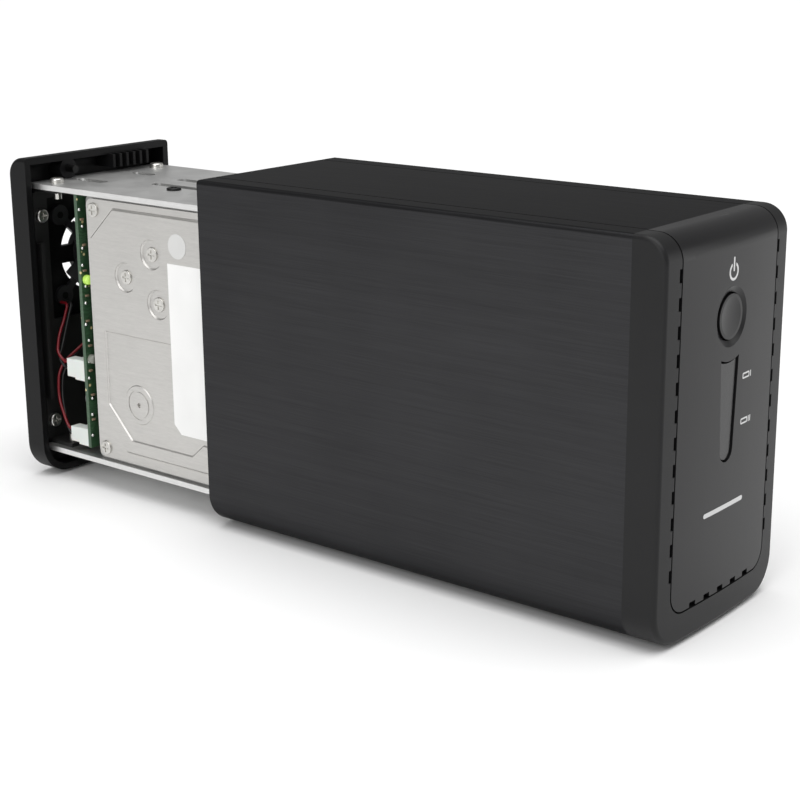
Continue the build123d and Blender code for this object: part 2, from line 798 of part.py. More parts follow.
def make_capacitors():
    """Upright electrolytic cans on the back of the backplane."""
    cans = []
    for x, z, radius, length in ((-20, 31, 4.0, 10.5), (-10.5, 31, 4.0, 10.5), (-13, 46, 3.1, 7.5)):
        can = rod_y(x, (backplane_back_y, backplane_back_y + length), z, radius)
        rim = can.edges().filter_by(GeomType.CIRCLE).sort_by(Axis.Y)[-1]
        cans.append(chamfer(rim, 0.5))
    return group(cans)


def make_board_leds():
    """Indicator lamps on the drive side of the backplane, at its free edge."""
    lamps = []
    for z in (80.8, 50.0):
        lamp = rod_y(-29.6, (backplane_y - 2.6, backplane_y), z, 1.8)
        rim = lamp.edges().filter_by(GeomType.CIRCLE).sort_by(Axis.Y)[0]
        lamps.append(fillet(rim, 1.2))
    return group(lamps)


def make_wire_sockets():
    """The two white wire-to-board sockets with their plugs pushed home."""
    solids = []
    for low, height in socket_places:
        x_range = (socket_x - socket_width / 2, socket_x + socket_width / 2)
        z_range = (low, low + height)
        header = block(x_range, (backplane_back_y, backplane_back_y + socket_depth), z_range)
        solids.append(header)
    return group(solids)


def plug_back_y():
    return backplane_back_y + socket_depth + plug_depth


def make_wire_plugs():
    solids = []
    for low, height in socket_places:
        x_range = (socket_x - socket_width / 2 + 0.5, socket_x + socket_width / 2 - 0.5)
        y_range = (backplane_back_y + socket_depth, plug_back_y())
        plug = block(x_range, y_range, (low + 0.5, low + height - 0.5))
        solids.append(chamfer(plug.edges().group_by(Axis.Y)[-1], 0.6))
    return group(solids)


def lead(points, bends):
    """A round wire along straight runs joined by arcs, one radius for each corner."""
    path = FilletPolyline(*points, radius=bends)
    start = Plane(origin=path @ 0, z_dir=path % 0)
    wire = sweep(start * Circle(lead_radius), path=path)
    expected = math.pi * lead_radius**2 * path.length
    print("lead length", round(path.length, 1), "volume ratio", round(wire.volume / expected, 4))
    return wire


def fan_lead_points(offset_x, offset_z):
    """From the fan's lower lug forward, down in front of the bracket, and into the upper plug."""
    low, height = socket_places[0]
    end_z = low + height / 2 + offset_z
    end_x = socket_x + offset_x / 3
    return [
        (-17.4 + offset_x, cover_inner_y - fan_spider_thickness, 66.2),
        (-17.4 + offset_x, cover_inner_y - fan_spider_thickness - 4, 66.2),
        (-20.4 + offset_x, fan_front_y + 3.6, 60.5),
        (-24.5 + offset_x, fan_front_y + 2.4, 53.5 + offset_z),
        (end_x, plug_back_y() + 7, end_z + 3),
        (end_x, plug_back_y() + 3.4, end_z),
        (end_x, plug_back_y(), end_z),
    ]


def jack_lead_points(offset_x, offset_z):
    """From the power jack's board down to the lower plug."""
    low, height = socket_places[1]
    end_z = low + height / 2 + offset_z
    end_x = socket_x + offset_x / 3
    return [
        (io_board_x - board_thickness, io_board_front_y + 13, 57.0 + offset_z),
        (io_board_x - 9, io_board_front_y + 13, 57.0 + offset_z),
        (-14 + offset_x, io_board_front_y + 15.5 + offset_x, 51.5),
        (-25.5 + offset_x, fan_front_y + 2.6, 41.5 + offset_z),
        (-27 + offset_x, fan_front_y + 2.0, 30.5),
        (end_x, plug_back_y() + 4.6, end_z + 3),
        (end_x, plug_back_y() + 2.6, end_z),
        (end_x, plug_back_y(), end_z),
    ]


def bends_for(points):
    """The largest arc that each corner's two runs allow, a little under half of the shorter."""
    radii = []
    for before, corner, after in zip(points, points[1:], points[2:]):
        run_in = Vector(*corner) - Vector(*before)
        run_out = Vector(*after) - Vector(*corner)
        half_turn = math.radians(run_in.get_angle(run_out)) / 2
        radii.append(0.45 * min(run_in.length, run_out.length) / math.tan(half_turn))
    return radii


def make_lead(points):
    return lead(points, bends_for(points))


# ---------------------------------------------------------------- front board, on the tray's front end
def make_front_board():
    board_z = (drive_low_z + 1.5, drive_high_z - 1.5)
    board = block((-front_board_half_width, front_board_half_width), (front_board_y, plate_front_y), board_z)
    for z in (drive_low_z + tab_height / 2, drive_high_z - tab_height / 2):
        hole_y = (front_board_y - 1, plate_front_y + 1)
        board -= rod_y(0, hole_y, z, small_screw_radius + running_gap)
    return board


def make_front_board_screws():
    places = (drive_low_z + tab_height / 2, drive_high_z - tab_height / 2)
    length = board_thickness + tab_thickness
    return group(
        screw_y(0, front_board_y, z, length, small_screw_head_radius, small_screw_head_height, small_screw_radius)
        for z in places
    )


def make_tact_switch():
    body = block((-3, 3), (front_board_y - 2.0, front_board_y), (button_z - 3, button_z + 3))
    cap_front = flange_y + flange_thickness + stem_length + button_travel + 0.1
    return body + rod_y(0, (cap_front, front_board_y - 2.0), button_z, 1.7)


def make_front_leds():
    lamps = []
    for z in (mark_z[0], mark_z[1]):
        lamps.append(block((-1.6, 1.6), (front_board_y - 1.1, front_board_y), (z - 0.9, z + 0.9)))
    return group(lamps)


def make_link_connectors():
    """The board-to-board header between the backplane and the port board."""
    low = io_board_low_z + 8
    return block(
        (io_board_x - board_thickness - 4.5, io_board_x - board_thickness),
        (backplane_back_y, io_board_front_y + 6), (low, low + 26)
    )


# ---------------------------------------------------------------- rear end
def ports():
    """Each rear port's cut-out, as x and z limits, measured from the port board."""
    start = io_board_x
    return {
        "lan": ((start, start + lan_width), (lan_low_z, lan_low_z + lan_height)),
        "usb": ((start, start + usb_width), (usb_low_z, usb_low_z + usb_height)),
        "jack": ((start, start + jack_width), (jack_low_z, jack_low_z + jack_height)),
    }


def grown(limits, gap):
    return (limits[0] - gap, limits[1] + gap)


def make_rear_cover():
    cover = slab(case_outline(0, 0), back_y, closed_length)
    top_back = cover.edges().filter_by(Axis.X).sort_by(Axis.Z)[-2:].sort_by(Axis.Y)[-1]
    cover = fillet(top_back, cover_top_radius)
    cover = fillet(rim_edges(cover, back_y), edge_round)
    cavity = slab(case_outline(cover_wall, edge_round), back_y - 1, cover_inner_y)
    cavity_top = cavity.edges().filter_by(Axis.X).sort_by(Axis.Z)[-2:].sort_by(Axis.Y)[-1]
    cover -= fillet(cavity_top, cover_top_radius - cover_wall)
    through = (cover_inner_y - 1, closed_length + 1)
    grille = Circle(grille_outer_radius) - Circle(grille_inner_radius)
    grille -= Rectangle(2 * fan_size, grille_bar)
    grille -= Rectangle(grille_bar, 2 * fan_size)
    cover -= slab(Pos(0, fan_z) * grille, *through)
    for x_range, z_range in ports().values():
        cover -= block(grown(x_range, port_gap), through, grown(z_range, port_gap))
    switch_x_range = (switch_x - switch_width / 2, switch_x + switch_width / 2)
    switch_z_range = (switch_z - switch_height / 2, switch_z + switch_height / 2)
    cover -= block(grown(switch_x_range, -0.4), through, grown(switch_z_range, -0.4))
    for side in (-1, 1):
        for corner in (-1, 1):
            hole_z = fan_z + corner * fan_hole_offset
            cover -= rod_y(side * fan_hole_offset, through, hole_z, screw_radius + running_gap)
        for z in bracket_screw_z:
            boss_y = (bracket_y + bracket_thickness, cover_inner_y + 0.5)
            cover += rod_y(side * bracket_screw_x, boss_y, z, boss_radius)
            hole_y = (bracket_y, cover_inner_y)
            cover -= rod_y(side * bracket_screw_x, hole_y, z, screw_radius)
    for x, z in closing_screw_places:
        cover += rod_y(x, (back_y + 0.2, cover_inner_y + 0.5), z, closing_boss_radius)
        cover -= rod_y(x, (back_y - 1, closed_length + 1), z, closing_screw_radius + running_gap)
        head_room = (closed_length - closing_head_depth - 0.1, closed_length + 1)
        cover -= rod_y(x, head_room, z, closing_head_radius + 2 * running_gap)
    for number in range(comb_rib_count):
        x = comb_first_x + comb_pitch * number
        rib_z = (plate_high_z + screw_head_height + rail_gap, case_height - cover_wall + 0.2)
        rib = block((x, x + comb_rib_thickness), (back_y + 0.5, cover_inner_y + 0.5), rib_z)
        nose_z = (rib_z[0], case_height - sleeve_wall - 2 * rail_gap)
        cover += rib + block((x, x + comb_rib_thickness), (back_y - comb_reach, back_y + 1), nose_z)
    lock_x = (-24.0, -21.0)
    return cover - block(lock_x, through, (26.0, 33.0))


def make_rear_bracket():
    """The black plate that stiffens the cover and carries the tray plates."""
    y_range = (bracket_y, bracket_y + bracket_thickness)
    plate = block((-bracket_half_width, bracket_half_width), y_range, (bracket_low_z, bracket_high_z))
    window = fan_size / 2 + bracket_window_gap
    plate -= block((-window, window), (bracket_y - 1, bracket_y + 3), (fan_z - window, fan_z + window))
    for x_range, z_range in ports().values():
        plate -= block(grown(x_range, 0.8), (bracket_y - 1, bracket_y + 3), grown(z_range, 0.8))
    switch_x_range = (switch_x - switch_width / 2, switch_x + switch_width / 2)
    switch_z_range = (switch_z - switch_height / 2, switch_z + switch_height / 2)
    plate -= block(grown(switch_x_range, 0.5), (bracket_y - 1, bracket_y + 3), grown(switch_z_range, 0.5))
    board_slot = (io_board_x - board_thickness - 0.3, io_board_x + 1)
    plate -= block(board_slot, (bracket_y - 1, bracket_y + 3), (io_board_low_z - 0.5, io_board_high_z + 0.5))
    flange_y = (bracket_y - bracket_flange, bracket_y + bracket_thickness / 2)
    for side in (-1, 1):
        outer = side * bracket_half_width
        flange_x = sorted((outer, outer - side * bracket_thickness))
        plate += block(flange_x, flange_y, (30.0, 92.0))
        for z in bracket_screw_z:
            hole_y = (bracket_y - 1, bracket_y + 3)
            plate -= rod_y(side * bracket_screw_x, hole_y, z, screw_radius + running_gap)
        for inner_z, toward in ((drive_low_z, 1), (drive_high_z, -1)):
            x = side * plate_screw_x
            ear_z = sorted((inner_z, inner_z + toward * bracket_thickness))
            ear = block((x - 4, x + 4), (plate_screw_y - 4, bracket_y + bracket_thickness), ear_z)
            web_z = sorted((inner_z, inner_z + toward * 5))
            ear += block((x - 4, x + 4), y_range, web_z)
            ear -= rod_z(x, plate_screw_y, (ear_z[0] - 1, ear_z[1] + 1), screw_radius + running_gap)
            plate += ear
    return plate


def make_bracket_screws():
    places = [(side * bracket_screw_x, z) for side in (-1, 1) for z in bracket_screw_z]
    length = bracket_thickness + 2.0
    return group(
        screw_y(x, bracket_y, z, length, screw_head_radius, screw_head_height, screw_radius - running_gap)
        for x, z in places
    )


def make_fan_frame():
    """The motor's spider: a disc behind the hub, four arms out to the screws, and the rotor's pin."""
    spider_y = (cover_inner_y - fan_spider_thickness, cover_inner_y)
    frame = rod_y(0, spider_y, fan_z, fan_hub_radius)
    for angle in (45, 135, 225, 315):
        arm = block((fan_hub_radius - 1, fan_hole_offset * math.sqrt(2)), spider_y, (-1.4, 1.4))
        frame += Pos(0, 0, fan_z) * Rot(0, angle, 0) * arm
    for side in (-1, 1):
        for corner in (-1, 1):
            frame += rod_y(side * fan_hole_offset, spider_y, fan_z + corner * fan_hole_offset, fan_lug_radius)
            hole_y = (cover_inner_y - fan_depth, cover_inner_y + 1)
            place = (side * fan_hole_offset, hole_y, fan_z + corner * fan_hole_offset)
            frame -= rod_y(*place, screw_radius + running_gap)
    return frame + rod_y(0, (fan_front_y + 3.0, cover_inner_y), fan_z, 1.4)


def make_fan_rotor():
    """The hub cup with swept blades, running on the frame's pin."""
    hub_front = fan_front_y + 0.8
    hub_back = cover_inner_y - 2.1
    hub = rod_y(0, (hub_front, hub_back), fan_z, fan_hub_radius)
    rim = hub.edges().filter_by(GeomType.CIRCLE).sort_by(Axis.Y)[0]
    hub = fillet(rim, 1.0)
    hub -= rod_y(0, (hub_front + 1.2, hub_back + 1), fan_z, 1.4 + running_gap)
    blades = []
    for number in range(fan_blade_count):
        blade = block((fan_hub_radius - 1, fan_reach + 2), (-0.45, 0.45), (-5.2, 5.2))
        blade = Rot(38, 0, 0) * blade
        middle = (hub_front + hub_back) / 2
        angle = 360 / fan_blade_count * number
        blades.append(Pos(0, middle, fan_z) * Rot(0, angle, 0) * blade)
    ring = rod_y(0, (hub_front + 0.3, hub_back - 0.3), fan_z, fan_reach)
    return joined([hub, *[blade & ring for blade in blades]]) - rod_y(
        0, (hub_front + 1.2, hub_back + 1), fan_z, 1.4 + running_gap
    )


def make_fan_screws():
    places = [(side * fan_hole_offset, fan_z + corner * fan_hole_offset) for side in (-1, 1) for corner in (-1, 1)]
    return group(
        screw_y(x, closed_length, z, cover_wall + fan_spider_thickness, screw_head_radius, screw_head_height,
                screw_radius, toward=1)
        for x, z in places
    )


def make_io_board():
    board_x = (io_board_x - board_thickness, io_board_x)
    return block(board_x, (io_board_front_y, bracket_y + 2.2), (io_board_low_z, io_board_high_z))


def make_lan_port():
    x_range, z_range = ports()["lan"]
    body = block(x_range, (port_back - port_depth, port_back), z_range)
    mouth = block(grown(x_range, -1.0), (port_back - port_depth + 4, port_back + 1), grown(z_range, -2.2))
    latch_z = (sum(z_range) / 2 - 3, sum(z_range) / 2 + 3)
    latch = block((x_range[1] - 2, x_range[1] - 0.3), (port_back - port_depth + 6, port_back + 1), latch_z)
    return body - mouth - latch


def make_usb_port():
    x_range, z_range = ports()["usb"]
    body = block(x_range, (port_back - port_depth, port_back), z_range)
    body -= block(grown(x_range, -1.0), (port_back - 10, port_back + 1), grown(z_range, -1.0))
    tongue_x = (sum(x_range) / 2 - 1.6, sum(x_range) / 2 + 1.6)
    tongue_z = (sum(z_range) / 2 - 2.9, sum(z_range) / 2 + 2.9)
    return body + block(tongue_x, (port_back - 10.5, port_back - 1), tongue_z)


def make_dc_jack():
    x_range, z_range = ports()["jack"]
    x = sum(x_range) / 2
    z = sum(z_range) / 2
    body = block(x_range, (port_back - port_depth + 4, port_back), z_range)
    body -= rod_y(x, (port_back - 10, port_back + 1), z, jack_mouth_radius)
    return body + rod_y(x, (port_back - 10.5, port_back - 1), z, jack_pin_radius)


def make_mode_switch():
    x_range = (switch_x - switch_width / 2, switch_x + switch_width / 2)
    z_range = (switch_z - switch_height / 2, switch_z + switch_height / 2)
    body = block(x_range, (cover_inner_y - 6, cover_inner_y), z_range)
    knob_room = (switch_knob + switch_travel) / 2 + 0.3
    room_z = (switch_z - knob_room, switch_z + knob_room)
    body -= block(grown(x_range, -1.0), (cover_inner_y - 4, cover_inner_y + 1), room_z)
    arm_z = (switch_z - 2.5, switch_z + 2.5)
    bridge = block((switch_x, io_board_x - board_thickness), (cover_inner_y - 9, cover_inner_y - 6), arm_z)
    return body + bridge


def make_mode_knob():
    middle = switch_z - switch_travel / 2
    x_range = (switch_x - switch_width / 2 + 1.3, switch_x + switch_width / 2 - 1.3)
    z_range = (middle - switch_knob / 2, middle + switch_knob / 2)
    return block(x_range, (cover_inner_y - 3.8, closed_length - 0.6), z_range)


def make_closing_screw(x, z):
    """A captive screw, sunk in the cover, that holds the tray shut."""
    seat_y = closed_length - closing_head_depth
    length = seat_y - back_y + closing_grip
    shank = closing_screw_radius - running_gap / 2
    return screw_y(x, seat_y, z, length, closing_head_radius, screw_head_height, shank, toward=1)


# ---------------------------------------------------------------- the node list
case_nodes = {
    "outer_sleeve": make_outer_sleeve,
    "front_bezel": make_front_bezel,
    "front_panel": make_front_panel,
    "power_icon": lambda: group(inlays(icon_outline())),
    "bay_marks": lambda: group(inlays(mark_outlines())),
    "front_badge": lambda: group(inlays([badge_outline()])),
    "light_pipe": make_light_pipe,
    "power_button": make_power_button,
    "button_spring": make_button_spring,
    "button_guide": make_button_guide,
    "guide_screws": make_guide_screws,
    "rubber_foot": make_rubber_foot,
}
tray_nodes = {
    "top_plate": make_top_plate,
    "bottom_plate": make_bottom_plate,
    "top_drive_screws": lambda: make_drive_screws(1),
    "bottom_drive_screws": lambda: make_drive_screws(-1),
    "top_plate_screws": lambda: make_plate_screws(1),
    "bottom_plate_screws": lambda: make_plate_screws(-1),
    "backplane_board": make_backplane,
    "sata_sockets": make_sata_sockets,
    "board_chips": make_board_chips,
    "capacitors": make_capacitors,
    "board_leds": make_board_leds,
    "wire_sockets": make_wire_sockets,
    "wire_plugs": make_wire_plugs,
    "fan_lead_red": lambda: make_lead(fan_lead_points(-1.0, 1.4)),
    "fan_lead_black": lambda: make_lead(fan_lead_points(1.0, -1.4)),
    "power_lead_red": lambda: make_lead(jack_lead_points(-0.9, 1.1)),
    "power_lead_black": lambda: make_lead(jack_lead_points(0.9, -1.1)),
    "front_board": make_front_board,
    "front_board_screws": make_front_board_screws,
    "tact_switch": make_tact_switch,
    "front_leds": make_front_leds,
    "link_connector": make_link_connectors,
    "rear_cover": make_rear_cover,
    "rear_bracket": make_rear_bracket,
    "bracket_screws": make_bracket_screws,
    "fan_frame": make_fan_frame,
    "fan_rotor": make_fan_rotor,
    "fan_screws": make_fan_screws,
    "io_board": make_io_board,
    "lan_port": make_lan_port,
    "usb_port": make_usb_port,
    "dc_jack": make_dc_jack,
    "mode_switch": make_mode_switch,
    "mode_knob": make_mode_knob,
    "closing_screw_top": lambda: make_closing_screw(*closing_screw_places[0]),
    "closing_screw_bottom": lambda: make_closing_screw(*closing_screw_places[1]),
}


def drive_nodes():
    """The pieces of each hard drive, lid towards -x on both."""
    nodes = {}
    for side, (low_x, high_x) in drive_sides().items():
        nodes[f"drive_base_{side}"] = make_drive_base(low_x, high_x)
        nodes[f"drive_lid_{side}"] = make_drive_lid(low_x)
        nodes[f"drive_label_{side}"] = make_drive_label(low_x)
        nodes[f"drive_lid_screws_{side}"] = make_lid_screws(low_x)
        nodes[f"drive_board_{side}"] = make_drive_board(high_x)
        nodes[f"drive_connector_{side}"] = make_drive_connector(high_x)
    return nodes


def main():
    os.makedirs("parts", exist_ok=True)
    placed = {}
    for name, make in case_nodes.items():
        placed[name] = (make(), 0.0)
    for name, make in tray_nodes.items():
        placed[name] = (make(), tray_out)
    for name, shape in drive_nodes().items():
        placed[name] = (shape, tray_out)
    for name, (shape, out) in placed.items():
        moved = shape.moved(Location((0, out - closed_length / 2, foot_height)))
        export_step(moved, f"parts/{name}.step")


main()
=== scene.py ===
import json
import math

import bpy
from bpy.props import FloatProperty, FloatVectorProperty, IntProperty, PointerProperty
from mathutils import Matrix, Vector


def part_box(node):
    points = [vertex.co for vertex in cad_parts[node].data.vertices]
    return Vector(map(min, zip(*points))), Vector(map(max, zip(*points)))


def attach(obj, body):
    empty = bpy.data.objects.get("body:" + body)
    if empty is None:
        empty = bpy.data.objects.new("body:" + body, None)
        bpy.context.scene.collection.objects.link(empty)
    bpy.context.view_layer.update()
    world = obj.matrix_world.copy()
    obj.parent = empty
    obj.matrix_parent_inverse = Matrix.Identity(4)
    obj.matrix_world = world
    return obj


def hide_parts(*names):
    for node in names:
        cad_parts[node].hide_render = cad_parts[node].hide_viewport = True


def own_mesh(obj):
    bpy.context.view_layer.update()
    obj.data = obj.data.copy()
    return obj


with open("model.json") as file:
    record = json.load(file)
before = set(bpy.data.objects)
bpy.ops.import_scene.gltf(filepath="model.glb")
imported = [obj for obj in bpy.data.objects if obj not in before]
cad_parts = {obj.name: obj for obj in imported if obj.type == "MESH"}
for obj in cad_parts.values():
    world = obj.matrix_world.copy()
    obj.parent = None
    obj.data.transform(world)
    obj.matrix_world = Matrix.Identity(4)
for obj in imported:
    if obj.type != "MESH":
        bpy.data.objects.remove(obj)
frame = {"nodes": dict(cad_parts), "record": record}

bl_info = {
    "name": "Two-bay storage enclosure",
    "version": (1, 0, 0),
    "blender": (4, 5, 0),
    "location": "3D View > Sidebar > Enclosure",
    "description": "Finishes a two-bay storage enclosure with its drive tray slid out, and sets its studio",
    "category": "Object",
}

MM = 0.001

# Solder joints along the edge of the backplane board: two columns, in millimetres from its corner.
SOLDER_ROWS = 13
SOLDER_START = 5
SOLDER_PITCH = 7.3
SOLDER_STAGGER = 0.9
SOLDER_EDGE = 0.9
SOLDER_COLUMN_PITCH = 2.9
SOLDER_STEP = 0.5

# Small parts on both faces of the backplane board, in millimetres from its corner.
PART_ROWS = 9
PART_START = 8.5
PART_PITCH = 9.7
PART_DEPTH = 0.7
PART_HEIGHT = 0.8
PART_BEVEL = 0.1
BEHIND_START = 9
BEHIND_STEP = 2.3
BEFORE_START = 0.8
BEFORE_STEP = 0.4
BEFORE_RISE = 2.4


# ------------------------------------------------------------------ shader maths
class Wire:
    """A socket that can be used in sums, so that masks are written as formulas."""

    def __init__(self, finish, socket):
        self.finish = finish
        self.socket = socket

    def _maths(self, operation, first, second):
        node = self.finish.node("ShaderNodeMath", {"operation": operation}, {0: first, 1: second})
        return Wire(self.finish, node.outputs[0])

    def __add__(self, other):
        return self._maths("ADD", self, other)

    __radd__ = __add__

    def __sub__(self, other):
        return self._maths("SUBTRACT", self, other)

    def __rsub__(self, other):
        return self._maths("SUBTRACT", other, self)

    def __mul__(self, other):
        return self._maths("MULTIPLY", self, other)

    __rmul__ = __mul__

    def __gt__(self, other):
        return self._maths("GREATER_THAN", self, other)

    def __lt__(self, other):
        return self._maths("LESS_THAN", self, other)

    def largest(self, other):
        return self._maths("MAXIMUM", self, other)

    def folded(self, length):
        """This value going up and down again between 0 and length."""
        return self._maths("PINGPONG", self, length)

    def ramp(self, low, high, start=0.0, end=1.0):
        """This value carried smoothly from start at low to end at high."""
        settings = {"interpolation_type": "SMOOTHSTEP"}
        sockets = {"Value": self, "From Min": low, "From Max": high, "To Min": start, "To Max": end}
        return Wire(self.finish, self.finish.node("ShaderNodeMapRange", settings, sockets).outputs[0])


class Finish:
    """A procedural material on Object coordinates, in metres."""

    def __init__(self, name, colour, roughness, metallic=0.0, **constants):
        self.material = bpy.data.materials.new(name)
        self.material.use_nodes = True
        self.tree = self.material.node_tree
        self.shader = self.tree.nodes["Principled BSDF"]
        self.colour = (*colour[:3], 1.0)
        self.shader.inputs["Base Color"].default_value = self.colour
        self.shader.inputs["Roughness"].default_value = roughness
        self.shader.inputs["Metallic"].default_value = metallic
        for socket, value in constants.items():
            self.shader.inputs[socket.replace("_", " ")].default_value = value
        self.material.diffuse_color = self.colour
        self.place = self.node("ShaderNodeTexCoord", {}, {}).outputs["Object"]
        self.heights = []

    def node(self, kind, settings, sockets):
        """Adds a node: its settings first, then the values or links of its sockets."""
        node = self.tree.nodes.new(kind)
        for setting, value in settings.items():
            setattr(node, setting, value)
        for socket, value in sockets.items():
            if isinstance(value, Wire):
                value = value.socket
            if isinstance(value, bpy.types.NodeSocket):
                self.tree.links.new(value, node.inputs[socket])
            else:
                node.inputs[socket].default_value = value
        return node

    def axis(self, letter):
        split = self.node("ShaderNodeSeparateXYZ", {}, {0: self.place})
        return Wire(self, split.outputs["XYZ".index(letter)])

    def stretched(self, scale):
        return self.node("ShaderNodeMapping", {}, {"Vector": self.place, "Scale": scale}).outputs[0]

    def noise(self, size_mm, detail=3.0, coarse=0.5, along=None):
        """Noise whose features are about size_mm across; along stretches them on each axis."""
        stretch = along or (1.0, 1.0, 1.0)
        scale = tuple(1.0 / (size_mm * MM * length) for length in stretch)
        sockets = {"Vector": self.stretched(scale), "Scale": 1.0, "Detail": detail, "Roughness": coarse}
        return Wire(self, self.node("ShaderNodeTexNoise", {}, sockets).outputs[0])

    def cells(self, size_mm, feature="F1", output="Distance"):
        sockets = {"Vector": self.place, "Scale": 1.0 / (size_mm * MM)}
        node = self.node("ShaderNodeTexVoronoi", {"feature": feature}, sockets)
        return Wire(self, node.outputs[output])

    def blend(self, factor, first, second):
        settings = {"data_type": "RGBA", "blend_type": "MIX"}
        node = self.node("ShaderNodeMix", settings, {"Factor": factor, 6: first, 7: second})
        return node.outputs[2]

    def shade(self, share):
        return tuple(min(1.0, channel * share) for channel in self.colour[:3]) + (1.0,)

    def tint(self, factor, low, high):
        """The base colour, from a darker share of itself to a lighter one."""
        return self.blend(factor, self.shade(low), self.shade(high))

    def paint(self, colour):
        self.tree.links.new(colour, self.shader.inputs["Base Color"])
        return self

    def rough(self, wire):
        self.tree.links.new(wire.socket, self.shader.inputs["Roughness"])
        return self

    def relief(self, height, depth_mm, strength=1.0):
        """A bump of about depth_mm, laid over the bumps before it."""
        sockets = {"Height": height, "Distance": depth_mm * MM, "Strength": strength}
        if self.heights:
            sockets["Normal"] = self.heights[-1]
        bump = self.node("ShaderNodeBump", {}, sockets).outputs[0]
        self.heights.append(bump)
        self.tree.links.new(bump, self.shader.inputs["Normal"])
        return self


# ------------------------------------------------------------------ finishes
def moulded(name, colour, roughness=0.5, grain_mm=0.35, depth_mm=0.02, spread=0.12, **constants):
    """Injection-moulded plastic: fine even grain, slightly uneven gloss, faint dust."""
    finish = Finish(name, colour, roughness, **constants)
    grain = finish.noise(grain_mm, 2.0)
    broad = finish.noise(38.0, 4.0)
    finish.paint(finish.tint(broad.ramp(0.3, 0.7), 1.0 - spread, 1.0 + spread))
    finish.rough(roughness - 0.05 + 0.1 * broad + 0.06 * grain)
    return finish.relief(grain, depth_mm)


def brushed(name, colour, roughness, along, depth_mm, spread, **constants):
    """Metal brushed one way, with long fine lines and a few deeper ones."""
    finish = Finish(name, colour, roughness, 1.0, **constants)
    lines = finish.noise(0.22, 4.0, 0.65, along)
    deep = finish.noise(0.9, 2.0, 0.5, along)
    broad = finish.noise(45.0, 3.0)
    tone = 0.55 * lines + 0.25 * deep + 0.2 * broad
    finish.paint(finish.tint(tone.ramp(0.25, 0.75), 1.0 - spread, 1.0 + spread))
    finish.rough(roughness - 0.09 + 0.18 * lines)
    finish.relief(lines, depth_mm)
    return finish.relief(deep, depth_mm * 0.8)


def zinc_sheet(name, colour):
    """Galvanised sheet: faint spangle, rolling lines and a few stains."""
    finish = Finish(name, colour, 0.42, 1.0)
    spangle = finish.cells(5.0, "F1", "Color")
    lines = finish.noise(0.3, 3.0, 0.6, (1.0, 40.0, 1.0))
    stains = finish.noise(16.0, 5.0, 0.6)
    tone = 0.15 * spangle + 0.5 * lines + 0.35 * stains
    finish.paint(finish.tint(tone.ramp(0.25, 0.75), 0.92, 1.06))
    finish.rough(0.36 + 0.03 * spangle + 0.08 * stains)
    return finish.relief(lines, 0.012)


def die_cast(name, colour):
    """Bead-blasted casting: rough skin with slight flow marks."""
    finish = Finish(name, colour, 0.5, 1.0)
    skin = finish.noise(0.5, 4.0, 0.7)
    flow = finish.noise(11.0, 4.0, 0.6)
    finish.paint(finish.tint((0.5 * skin + 0.5 * flow).ramp(0.3, 0.7), 0.78, 1.15))
    finish.rough(0.4 + 0.2 * flow)
    return finish.relief(skin, 0.05)


def circuit_board(name, colour, gold=(0.72, 0.6, 0.3)):
    """Solder mask over copper: runs of track under it, pads showing through."""
    finish = Finish(name, colour, 0.32, Specular_IOR_Level=0.6)
    across = finish.node("ShaderNodeTexWave", {"wave_type": "BANDS", "bands_direction": "Z"},
                         {"Vector": finish.place, "Scale": 260.0, "Distortion": 9.0, "Detail": 1.0})
    tracks = Wire(finish, across.outputs["Fac"]).ramp(0.55, 0.62)
    where = finish.noise(13.0, 1.0).ramp(0.47, 0.5)
    tracks = tracks * where
    pads = 1.0 - finish.cells(3.1).ramp(0.16, 0.19)
    pads = pads * (1.0 - where)
    cloth = finish.noise(0.4, 2.0)
    base = finish.blend(tracks, finish.shade(1.0), finish.shade(1.35))
    finish.paint(finish.blend(pads, base, (*gold, 1.0)))
    finish.rough(0.28 + 0.1 * cloth + 0.05 * tracks)
    finish.relief(tracks, 0.04)
    return finish.relief(cloth, 0.006)


def coated_paper(name, colour):
    """A printed label: a few grey rules and blank boxes, no lettering, on slightly soft paper."""
    finish = Finish(name, colour, 0.45)
    fibre = finish.noise(0.25, 4.0)
    broad = finish.noise(22.0, 2.0)
    low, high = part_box("drive_label_left")
    height = (finish.axis("Z") - low.z) * (1.0 / (high.z - low.z))
    length = (finish.axis("Y") - low.y) * (1.0 / (high.y - low.y))
    rows = height.folded(0.045)
    rules = (1.0 - rows.ramp(0.002, 0.004)) * (height > 0.12) * (height < 0.5)
    block = (height > 0.58) * (height < 0.72) * (length > 0.08) * (length < 0.4)
    print_mask = (rules * (length > 0.06) * (length < 0.66)).largest(block)
    sticker = finish.axis("Z") > low.z + 64.0 * MM
    white = finish.tint(broad.ramp(0.3, 0.7), 0.97, 1.03)
    paper = finish.blend(0.75 * sticker, white, (0.55, 0.55, 0.54, 1.0))
    finish.paint(finish.blend(0.5 * print_mask, paper, (0.45, 0.46, 0.48, 1.0)))
    finish.rough(0.4 + 0.12 * fibre)
    return finish.relief(fibre, 0.008)


def rubber(name, colour):
    """Matt rubber with a fine skin."""
    finish = Finish(name, colour, 0.78)
    skin = finish.noise(0.6, 3.0)
    finish.paint(finish.tint(skin, 0.8, 1.4))
    finish.rough(0.7 + 0.15 * skin)
    return finish.relief(skin, 0.03)


